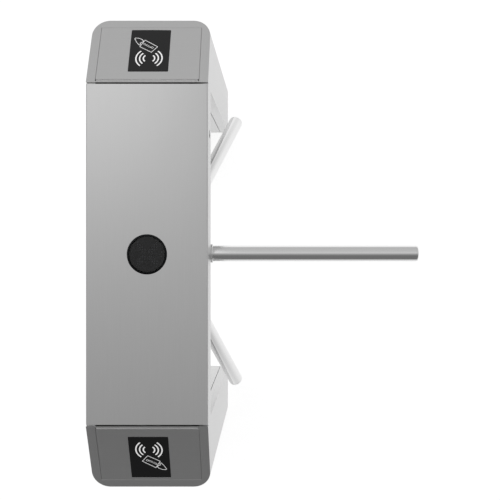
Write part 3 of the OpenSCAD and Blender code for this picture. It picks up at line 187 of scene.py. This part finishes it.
def surface(name, metallic, dark, light, smooth, coarse, grain, depth, **sockets):
    """A procedural finish between two colours and two roughnesses. The grain is its size in mm along
    X, Y and Z, and the depth is its relief in mm."""
    material = blank(name)
    place = add(material, "TexCoord")
    stretch = add(material, "Mapping", {"Scale": [per_metre / size for size in grain]},
                  {"Vector": place.outputs["Object"]})
    marks = add(material, "TexNoise", {"Scale": 1, "Detail": noise_detail, "Roughness": noise_roughness},
                {"Vector": stretch.outputs["Vector"]})
    tone = add(material, "MixRGB", {"Color1": linear(dark), "Color2": linear(light)},
               {"Fac": marks.outputs["Fac"]})
    rough = add(material, "MapRange", {"From Min": marks_low, "From Max": marks_high,
                                       "To Min": smooth, "To Max": coarse},
                {"Value": marks.outputs["Fac"]})
    relief = add(material, "Bump", {"Strength": 1, "Distance": depth / per_metre},
                 {"Height": marks.outputs["Fac"]})
    shader = add(material, "BsdfPrincipled", {"Metallic": metallic, **sockets},
                 {"Base Color": tone.outputs["Color"], "Roughness": rough.outputs["Result"],
                  "Normal": relief.outputs["Normal"]})
    add(material, "OutputMaterial", links={"Surface": shader.outputs["BSDF"]})
    return material


def brushed(name, axis):
    """Brushed stainless sheet, with its brush lines along one axis."""
    grain = [brush_length if letter == axis else brush_width for letter in "XYZ"]
    return surface(name, metallic=1, dark=sheet_dark, light=sheet_light, smooth=sheet_smooth,
                   coarse=sheet_coarse, grain=grain, depth=brush_depth)


def smoothed(piece):
    """Shades every face of a piece smooth."""
    for face in piece.data.polygons:
        face.use_smooth = True
    return piece


def eased(piece, edge):
    """Rounds the sharp edges of a piece, with the radius in mm, and shades the faces beside them flat."""
    bevel = smoothed(piece).modifiers.new("eased_edges", "BEVEL")
    bevel.width = edge / per_metre
    bevel.segments = bevel_segments
    bevel.limit_method = "ANGLE"
    bevel.angle_limit = radians(sharp_angle)
    bevel.use_clamp_overlap = False
    bevel.harden_normals = True
    return piece


def finished(node, edge):
    """A piece with the form of a CAD node, its faces joined again and its sharp edges rounded."""
    form = bmesh.new()
    form.from_mesh(frame["nodes"][node].data)
    bmesh.ops.remove_doubles(form, verts=form.verts, dist=merge_distance)
    bmesh.ops.dissolve_limit(form, angle_limit=radians(flat_angle), verts=form.verts, edges=form.edges)
    piece = shown(node + "_finished", form)
    piece.data.materials.clear()
    for name in ("custom_normal", "sharp_face", "sharp_edge"):
        if name in piece.data.attributes:
            piece.data.attributes.remove(piece.data.attributes[name])
    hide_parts(node)
    return eased(piece, edge)


def dressed(piece, material, body):
    """Gives a piece its material, and says which body it moves with."""
    piece.data.materials.append(material)
    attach(piece, body)
    return piece


leg_steel = brushed("brushed_stainless_leg", "Z")
for node in ("left_base_plate", "right_base_plate"):
    dressed(finished(node, plate_edge), leg_steel, "cabinet")

# Legs and bridge box: 1.5 mm stainless sheet, brushed, folded and welded. The brush lines run up
# the legs and along the bridge.
fold_edge = 0.6

bridge_steel = brushed("brushed_stainless_bridge", "Y")
for node in ("left_leg", "right_leg"):
    dressed(finished(node, fold_edge), leg_steel, "cabinet")
dressed(finished("bridge_box", fold_edge), bridge_steel, "cabinet")

# Bolts, hinge leaves and pins: the bolts that join the bridge to the legs are zinc plated, bluish and
# cloudy. The hinges of cover, lids and doors are rolled stainless, pickled dull and unbrushed.
bolt_edge = 0.4
leaf_edge = 0.15

zinc = surface("zinc_plated_steel", metallic=1, dark="#9DA3AB", light="#BCC1C8",
               smooth=0.28, coarse=0.45, grain=(4, 4, 4), depth=0.01)
hinge_steel = surface("pickled_stainless_hinge", metallic=1, dark="#E4E4E4", light="#EDEDED",
                      smooth=0.7, coarse=0.8, grain=(0.9, 0.9, 0.9), depth=0.006)
dressed(finished("bridge_bolts", bolt_edge), zinc, "cabinet")
for node in ("hinge_leaves", "hinge_pins"):
    dressed(finished(node, leaf_edge), hinge_steel, "cabinet")

# Cable glands: moulded black polyamide with a fine spark-eroded texture, screwed into the base
# plates, where the cable from the building comes in.
gland_edge = 0.8

polyamide = surface("moulded_polyamide_black", metallic=0, dark="#121213", light="#1B1B1C",
                    smooth=0.45, coarse=0.6, grain=(0.8, 0.8, 0.8), depth=0.02)
dressed(finished("cable_glands", gland_edge), polyamide, "cabinet")

# Terminal strip: a zinc-plated rail on the end wall of the left leg, with a row of grey polyamide
# terminals clipped to it. Each has two clamp screws in its front face.
strip_low, strip_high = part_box("terminal_strip")
rail_depth = 0.0075
rail_height = 0.035
terminal_width = 0.01
terminal_step = 0.0105
terminal_count = 9
row_width = (terminal_count - 1) * terminal_step + terminal_width
screw_radius = 0.0028
screw_heights = (0.009, 0.037)
screw_depth = 0.001
screw_proud = 0.00025
screw_sides = 12


def add_block(form, low, size):
    """Adds a block to a bmesh by its lowest corner and its size."""
    middle = Matrix.Translation(Vector(low) + Vector(size) / 2)
    bmesh.ops.create_cube(form, size=1, matrix=middle @ Matrix.Diagonal((*size, 1)))


def add_drum(form, middle, radius, height, sides, turn=Matrix()):
    """Adds a drum to a bmesh by its middle, its axis turned from Z."""
    bmesh.ops.create_cone(form, cap_ends=True, segments=sides, radius1=radius, radius2=radius,
                          depth=height, matrix=Matrix.Translation(middle) @ turn)


strip_middle = (strip_low + strip_high) / 2
strip_size = strip_high - strip_low
rail_form = bmesh.new()
add_block(rail_form, (strip_low.x, strip_high.y - rail_depth, strip_middle.z - rail_height / 2),
          (strip_size.x, rail_depth, rail_height))
dressed(eased(shown("terminal_rail", rail_form), leaf_edge), zinc, "cabinet")
terminal_form = bmesh.new()
screw_form = bmesh.new()
for index in range(terminal_count):
    low = Vector((strip_middle.x - row_width / 2 + index * terminal_step, strip_low.y, strip_low.z))
    add_block(terminal_form, low, (terminal_width, strip_size.y - rail_depth, strip_size.z))
    for height in screw_heights:
        middle = low + Vector((terminal_width / 2, screw_depth / 2 - screw_proud, height))
        add_drum(screw_form, middle, screw_radius, screw_depth, screw_sides, Matrix.Rotation(pi / 2, 4, "X"))
grey_polyamide = surface("moulded_polyamide_grey", metallic=0, dark="#8C9092", light="#989C9E",
                         smooth=0.5, coarse=0.6, grain=(1, 1, 1), depth=0.02)
terminals = eased(shown("terminals", terminal_form), bolt_edge)
dressed(terminals, grey_polyamide, "cabinet")
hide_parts("terminal_strip")
dressed(shown("terminal_screws", screw_form), zinc, "cabinet")

# Control board: a green glass-epoxy board on four brass pillars in the bridge, with its processor,
# four relays and a row of plug-in terminals. Solder mask is satin and shows the traces below it.
pillar_inset = 0.006
pillar_radius = 0.003
pillar_height = 0.01
pillar_sides = 24
board_thick = 0.0016
box_low, box_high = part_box("control_board")
board_low = box_low + Vector((0, 0, pillar_height))
board_size = Vector((box_high.x - box_low.x, box_high.y - box_low.y, board_thick))
relay_low = board_low + Vector((0.014, 0.014, board_size.z))
relay_size = Vector((0.016, 0.02, 0.015))
relay_step = 0.026
relay_count = 4
chip_low = board_low + Vector((0.043, 0.071, board_size.z))
chip_size = Vector((0.018, 0.018, 0.002))
block_low = board_low + Vector((0.078, 0.014, board_size.z))
block_size = Vector((0.012, 0.132, 0.012))
block_step = 0.011
clamp_height = 0.0005
part_edge = 0.4

board_form = bmesh.new()
add_block(board_form, board_low, board_size)
board = eased(shown("control_board_plate", board_form), leaf_edge)
solder_mask = surface("solder_mask_on_glass_epoxy", metallic=0, dark="#0E4A2A", light="#1B6A3E",
                      smooth=0.3, coarse=0.45, grain=(3, 24, 3), depth=0.02)
dressed(board, solder_mask, "cabinet")
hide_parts("control_board")
pillar_form = bmesh.new()
for x in (pillar_inset, board_size.x - pillar_inset):
    for y in (pillar_inset, board_size.y - pillar_inset):
        middle = board_low + Vector((x, y, -pillar_height / 2))
        add_drum(pillar_form, middle, pillar_radius, pillar_height, pillar_sides)
brass = surface("machined_brass", metallic=1, dark="#B39449", light="#C9AC62",
                smooth=0.25, coarse=0.38, grain=(0.6, 0.6, 0.6), depth=0.006)
dressed(eased(shown("control_board_pillars", pillar_form), leaf_edge), brass, "cabinet")
relay_form = bmesh.new()
for index in range(relay_count):
    add_block(relay_form, relay_low + Vector((0, index * relay_step, 0)), relay_size)
blue_case = surface("moulded_polyester_blue", metallic=0, dark="#1D4F94", light="#24589F",
                    smooth=0.3, coarse=0.42, grain=(1, 1, 1), depth=0.01)
dressed(eased(shown("control_board_relays", relay_form), part_edge), blue_case, "cabinet")
chip_form = bmesh.new()
add_block(chip_form, chip_low, chip_size)
dressed(eased(shown("control_board_processor", chip_form), leaf_edge), polyamide, "cabinet")
block_form = bmesh.new()
clamp_form = bmesh.new()
for index in range(int(block_size.y / block_step)):
    low = block_low + Vector((0, index * block_step, 0))
    add_block(block_form, low, (block_size.x, block_step - leaf_edge / per_metre, block_size.z))
    middle = low + Vector((block_size.x / 2, block_step / 2, block_size.z))
    add_drum(clamp_form, middle, screw_radius, clamp_height, screw_sides)
green_block = surface("moulded_polyamide_green", metallic=0, dark="#1F7A3D", light="#2A8B49",
                      smooth=0.4, coarse=0.5, grain=(1, 1, 1), depth=0.02)
dressed(eased(shown("control_board_plugs", block_form), part_edge), green_block, "cabinet")
dressed(shown("control_board_clamps", clamp_form), zinc, "cabinet")

# Power supply: a folded case of bare aluminium sheet with vent slots, on the bridge floor. The
# rolling has left long faint lines in it.
case_edge = 0.5

bare_aluminium = surface("rolled_aluminium_sheet", metallic=1, dark="#B6B8BA", light="#C9CACC",
                         smooth=0.3, coarse=0.42, grain=(2, 60, 2), depth=0.01)
dressed(finished("power_supply", case_edge), bare_aluminium, "cabinet")

# Mechanism frame: a laser-cut main plate behind the rotor opening, spacers, a rear plate on three
# pillars and the pawl posts, all zinc plated.
cut_edge = 0.5

for node in ("main_plate", "rear_plate", "plate_spacers", "rear_pillars", "pawl_posts", "housing_bolts"):
    dressed(finished(node, cut_edge), zinc, "cabinet")

# Bearing housing and bearings: a turned aluminium casting bolted to the main plate, and two
# hardened ball bearings with pressed steel shields.
housing_edge = 1
race_edge = 0.4

casting = surface("cast_aluminium", metallic=1, dark="#A9ABAD", light="#C2C3C4",
                  smooth=0.38, coarse=0.52, grain=(1.8, 1.8, 1.8), depth=0.03)
bearing_steel = surface("ground_bearing_steel", metallic=1, dark="#A5A6A8", light="#BDBEC0",
                        smooth=0.16, coarse=0.28, grain=(0.8, 0.8, 0.8), depth=0.004)
dressed(finished("bearing_housing", housing_edge), casting, "cabinet")
dressed(finished("shaft_bearings", race_edge), bearing_steel, "cabinet")

# Drives and sensor: a gear motor, a rotary damper, two solenoids and a forked light sensor. Motor
# and solenoids are in black stoved cases, damper and sensor in moulded black plastic.
drive_edge = 1.2

stoved = surface("stoved_black_steel", metallic=0, dark="#151617", light="#202122",
                 smooth=0.32, coarse=0.45, grain=(1.5, 1.5, 1.5), depth=0.015)
for node, finish, edge in (("drive_motor", stoved, drive_edge),
                           ("left_solenoid", stoved, drive_edge),
                           ("right_solenoid", stoved, drive_edge),
                           ("rotary_damper", polyamide, drive_edge),
                           ("position_sensor", polyamide, part_edge)):
    dressed(finished(node, edge), finish, "cabinet")

# Shaft, discs and pawls: ground and oiled steel, darker than the plated parts, with a faint fine
# grain. The pawls drop into the notches of the locking disc, pulled by their plungers.
oiled_steel = surface("oiled_ground_steel", metallic=1, dark="#66686B", light="#7E8083",
                      smooth=0.24, coarse=0.38, grain=(0.9, 0.9, 0.9), depth=0.008)
for node in ("rotor_shaft", "locking_disc", "encoder_disc", "shaft_nut"):
    dressed(finished(node, leaf_edge), oiled_steel, "rotor")
for side in ("left", "right"):
    dressed(finished(side + "_pawl", race_edge), oiled_steel, side + "_pawl")
    dressed(finished(side + "_plunger", race_edge), bearing_steel, side + "_plunger")

# Gears: hobbed brass, in the same brass as the board's pillars. The large one is keyed on the shaft,
# and the small ones sit on the motor and on the damper.
tooth_edge = 0.15

for node, body in (("drive_gear", "rotor"), ("motor_pinion", "motor_pinion"),
                   ("damper_pinion", "damper_pinion")):
    dressed(finished(node, tooth_edge), brass, body)

# Rotor hub: a die-cast aluminium cone with a rounded rim, blasted and lacquered silver, with a
# polished steel cap in the middle of its face.
hub_edge = 1.6
cap_edge = 0.8

lacquer = surface("lacquered_die_casting", metallic=1, dark="#C4C5C6", light="#CFD0D1",
                  smooth=0.34, coarse=0.44, grain=(0.9, 0.9, 0.9), depth=0.015)
polish = surface("polished_stainless", metallic=1, dark="#EEEEEE", light="#F3F3F3",
                 smooth=0.09, coarse=0.13, grain=(1.2, 1.2, 1.2), depth=0.003)
dressed(finished("rotor_hub", hub_edge), lacquer, "rotor")
dressed(finished("hub_cap", cap_edge), polish, "rotor")

# Arm sockets and screws: polished steel collars that grip the arms, each with one black socket
# screw from the side.
socket_edge = 1

# The same black material is also the painted shade of the lock keyways below.
black_oxide = surface("black_oxide_steel_and_painted_shade", metallic=1, dark="#2B2C2E", light="#38393B",
                      smooth=0.3, coarse=0.42, grain=(0.8, 0.8, 0.8), depth=0.006)
dressed(finished("arm_sockets", socket_edge), polish, "rotor")
dressed(finished("arm_screws", leaf_edge), black_oxide, "rotor")

# Arms: 38 mm stainless tubes, polished to a soft mirror that is faintly uneven, each closed by a
# pressed cap with a small round edge.
tube_edge = 0.4

for node in ("level_arm", "left_arm", "right_arm", "arm_caps"):
    dressed(finished(node, tube_edge), polish, "rotor")

# Top cover: one tray of brushed stainless sheet with long folds of 4 mm radius, spot-welded ribs
# and a hook for the lock. The brush lines run along it.
cover_edge = 0.5

dressed(finished("top_cover", cover_edge), bridge_steel, "top_cover")

# Indicator: a turned bezel, anodised black, a smoked acrylic lens and under it a black board with a
# cross and an arrow tip of small clear lamps, unlit. The lamps lie on a square grid of dots.
bezel_edge = 0.25
lens_edge = 0.3
acrylic_ior = 1.49
disc_radius = 0.041
disc_thick = 0.0016
disc_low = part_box("indicator_board")[0].z
disc_sides = 64
dot_step = 0.0055
dot_radius = 0.0018
dot_height = 0.0011
dot_sides, dot_rings = 10, 6
dot_columns = range(-6, 8)
dot_rows = range(-6, 7)
cross_hole = 1
cross_columns, cross_rows = 4, 5
cross_thick = 1
tip_column = 6
tip_reach = 1

bezel_metal = surface("anodised_aluminium_black", metallic=1, dark="#1C1D1E", light="#28292A",
                      smooth=0.25, coarse=0.35, grain=(0.8, 0.8, 0.8), depth=0.004)
dressed(finished("indicator_bezel", bezel_edge), bezel_metal, "top_cover")
smoked = surface("smoked_acrylic", metallic=0, dark="#7E7F82", light="#828386",
                 smooth=0.04, coarse=0.07, grain=(40, 40, 40), depth=0.004,
                 **{"Transmission Weight": 1, "IOR": acrylic_ior})
dressed(finished("indicator_lens", lens_edge), smoked, "top_cover")
disc_form = bmesh.new()
add_drum(disc_form, (0, 0, disc_low + disc_thick / 2), disc_radius, disc_thick, disc_sides)
black_mask = surface("black_solder_mask", metallic=0, dark="#0B0C0C", light="#121313",
                     smooth=0.4, coarse=0.55, grain=(1, 1, 1), depth=0.01)
disc = eased(shown("indicator_disc", disc_form), leaf_edge)
dressed(disc, black_mask, "top_cover")
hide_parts("indicator_board")
dot_form = bmesh.new()
for column in dot_columns:
    for row in dot_rows:
        cross = (abs(abs(column) - abs(row)) <= cross_thick
                 and cross_hole <= abs(column) <= cross_columns and cross_hole <= abs(row) <= cross_rows)
        tip = abs(column - tip_column) + abs(row) == tip_reach
        if cross or tip:
            place = Matrix.Translation((column * dot_step, row * dot_step, disc_low + disc_thick))
            bmesh.ops.create_uvsphere(dot_form, u_segments=dot_sides, v_segments=dot_rings,
                                      radius=dot_radius,
                                      matrix=place @ Matrix.Diagonal((1, 1, dot_height / dot_radius, 1)))
lamp_dome = surface("clear_epoxy_lamp", metallic=0, dark="#E6E8E9", light="#F2F3F4",
                    smooth=0.1, coarse=0.2, grain=(0.5, 0.5, 0.5), depth=0.004)
dressed(smoothed(shown("indicator_lamps", dot_form)), lamp_dome, "top_cover")

# Locks: turned and polished cylinders with a thin tongue behind, each with a keyway drawn as a thin
# black plate of painted shade in its face. One sits in the upright band of the bridge, and one in
# each door. Each is given with the turn that brings Z to the way its face looks.
lock_edge = 0.5
keyway_width, keyway_length = 0.0014, 0.0068
keyway_rise = 0.0001
lock_face = 0.0016
locks = (("cover_lock", 90, "Y"), ("left_door_lock", 90, "X"), ("right_door_lock", -90, "X"))

pivots = {joint["child"]: Vector(joint["pos_m"]) for joint in frame["joints"] if "pos_m" in joint}
for lock, angle, axis in locks:
    dressed(finished(lock, lock_edge), polish, lock)
    # The keyway plate is painted shade: black where the slot would be dark.
    keyway_form = bmesh.new()
    add_block(keyway_form, (-keyway_width / 2, -keyway_length / 2, lock_face - keyway_rise),
              (keyway_width, keyway_length, 2 * keyway_rise))
    keyway_form.transform(Matrix.Translation(pivots[lock]) @ Matrix.Rotation(radians(angle), 4, axis))
    dressed(shown(lock + "_keyway_painted_shade", keyway_form), black_oxide, lock)

# Reader lids: brushed stainless trays on the sloped ends, hinged at their upper edge. Their brush
# lines run across the slope. The middle barrel of each hinge belongs to its lid and is dull.
barrel_reach = 0.0027

lid_steel = brushed("brushed_stainless_lid", "X")
for side in ("left", "right"):
    lid = dressed(finished(side + "_reader_lid", cover_edge), lid_steel, side + "_lid")
    lid.data.materials.append(hinge_steel)
    for face in lid.data.polygons:
        if (face.center.yz - pivots[side + "_lid"].yz).length < barrel_reach:
            face.material_index = 1

# Reader windows: 3 mm black acrylic with a back flange, flush in the lids, printed in white with
# radio waves and a hand that holds a card, in mm across and down the slope. The print is a thin
# layer of ink with a painted glow, which makes it look white on both slopes.
window_edge = 0.35
leg_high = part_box("left_leg")[1]
slope_start = 0.3935
slope_fall = 0.1
print_height = 0.0005
ink_thick = 0.00008
# Painted glow: the ink emits light of its own so that the print reads white.
ink_glow = 0.42
wave_radii = (11.2, 19.8, 28.4)
wave_middle = (2, 71.7)
wave_sweep = 104
wave_steps = 20
wave_stroke = 3.1
line_stroke = 1.25
fine_stroke = 0.7
card_corners = ((-13, 129.4), (18.8, 107.8), (4.3, 89.6), (-24.8, 107.8))
hand_corners = ((-38.3, 132.8), (-35.6, 136), (-27.2, 134.9), (-20, 131.5), (-15.3, 125.4), (-18.7, 121.1),
                (-22.8, 119.4), (-21.9, 115.6), (-25.4, 111.8), (-32, 120.3))
stripe_corners = ((-14.7, 119), (3.5, 106.7), (1.3, 104), (-16.9, 116.3))
chip_corners = ((5.4, 108.4), (9.6, 105.6), (6.4, 101.5), (2.1, 104.4))
outlines = ((card_corners, line_stroke), (hand_corners, line_stroke),
            (stripe_corners, fine_stroke), (chip_corners, fine_stroke))

acrylic = surface("gloss_black_acrylic", metallic=0, dark="#141415", light="#171718",
                  smooth=0.05, coarse=0.09, grain=(30, 30, 30), depth=0.004, IOR=acrylic_ior)
# The ink's emission is painted light, not a lamp behind the window.
ink = surface("white_screen_ink_painted_glow", metallic=0, dark="#EDEDED", light="#F6F6F6",
              smooth=0.5, coarse=0.6, grain=(0.6, 0.6, 0.6), depth=0.003,
              **{"Emission Color": linear("#FFFFFF"), "Emission Strength": ink_glow})


def add_outline(form, corners, stroke):
    """Adds a closed line through some corners, with its width inside them."""
    face = form.faces.new([form.verts.new((x / per_metre, down / per_metre, 0)) for x, down in corners])
    face.normal_update()
    bmesh.ops.inset_individual(form, faces=[face], thickness=stroke / per_metre, use_even_offset=True)
    bmesh.ops.delete(form, geom=[face], context="FACES_ONLY")


def add_wave(form, half, radius):
    """Adds one arc of a radio wave: a short stroke spun round the middle of its group."""
    middle = Vector((half * wave_middle[0], wave_middle[1], 0)) / per_metre
    start = Matrix.Rotation(radians(-wave_sweep / 2), 3, "Z")
    ends = [form.verts.new(middle + start @ Vector((half * reach / per_metre, 0, 0)))
            for reach in (radius - wave_stroke / 2, radius + wave_stroke / 2)]
    bmesh.ops.spin(form, geom=[*ends, form.edges.new(ends)], cent=middle, axis=(0, 0, 1),
                   angle=radians(wave_sweep), steps=wave_steps, use_duplicate=False)


slope = (Matrix.Translation((0, slope_start, leg_high.z))
         @ Matrix.Rotation(-atan2(slope_fall, leg_high.y - slope_start), 4, "X")
         @ Matrix.Translation((0, 0, print_height)))
for side, turn in (("left", 0), ("right", pi)):
    dressed(finished(side + "_window", window_edge), acrylic, side + "_lid")
    print_form = bmesh.new()
    for half in (-1, 1):
        for radius in wave_radii:
            add_wave(print_form, half, radius)
    for corners, stroke in outlines:
        add_outline(print_form, corners, stroke)
    for face in print_form.faces:
        face.normal_update()
        if face.normal.z < 0:
            face.normal_flip()
    print_form.transform(Matrix.Rotation(turn, 4, "Z") @ slope)
    pictures = shown(side + "_window_print", print_form)
    layer = pictures.modifiers.new("ink_layer", "SOLIDIFY")
    layer.thickness = ink_thick
    layer.offset = 1
    dressed(pictures, ink, side + "_lid")

# Reader modules: potted black plastic boxes stuck to the back of the windows, which read the cards
# through them.
module_edge = 1.5

for side in ("left", "right"):
    dressed(finished(side + "_reader_module", module_edge), polyamide, side + "_lid")

# Leg doors: brushed stainless trays in the inner faces of the legs, on two hinges each, with the
# brush lines of the legs.
for side in ("left", "right"):
    dressed(finished(side + "_door", cover_edge), leg_steel, side + "_door")
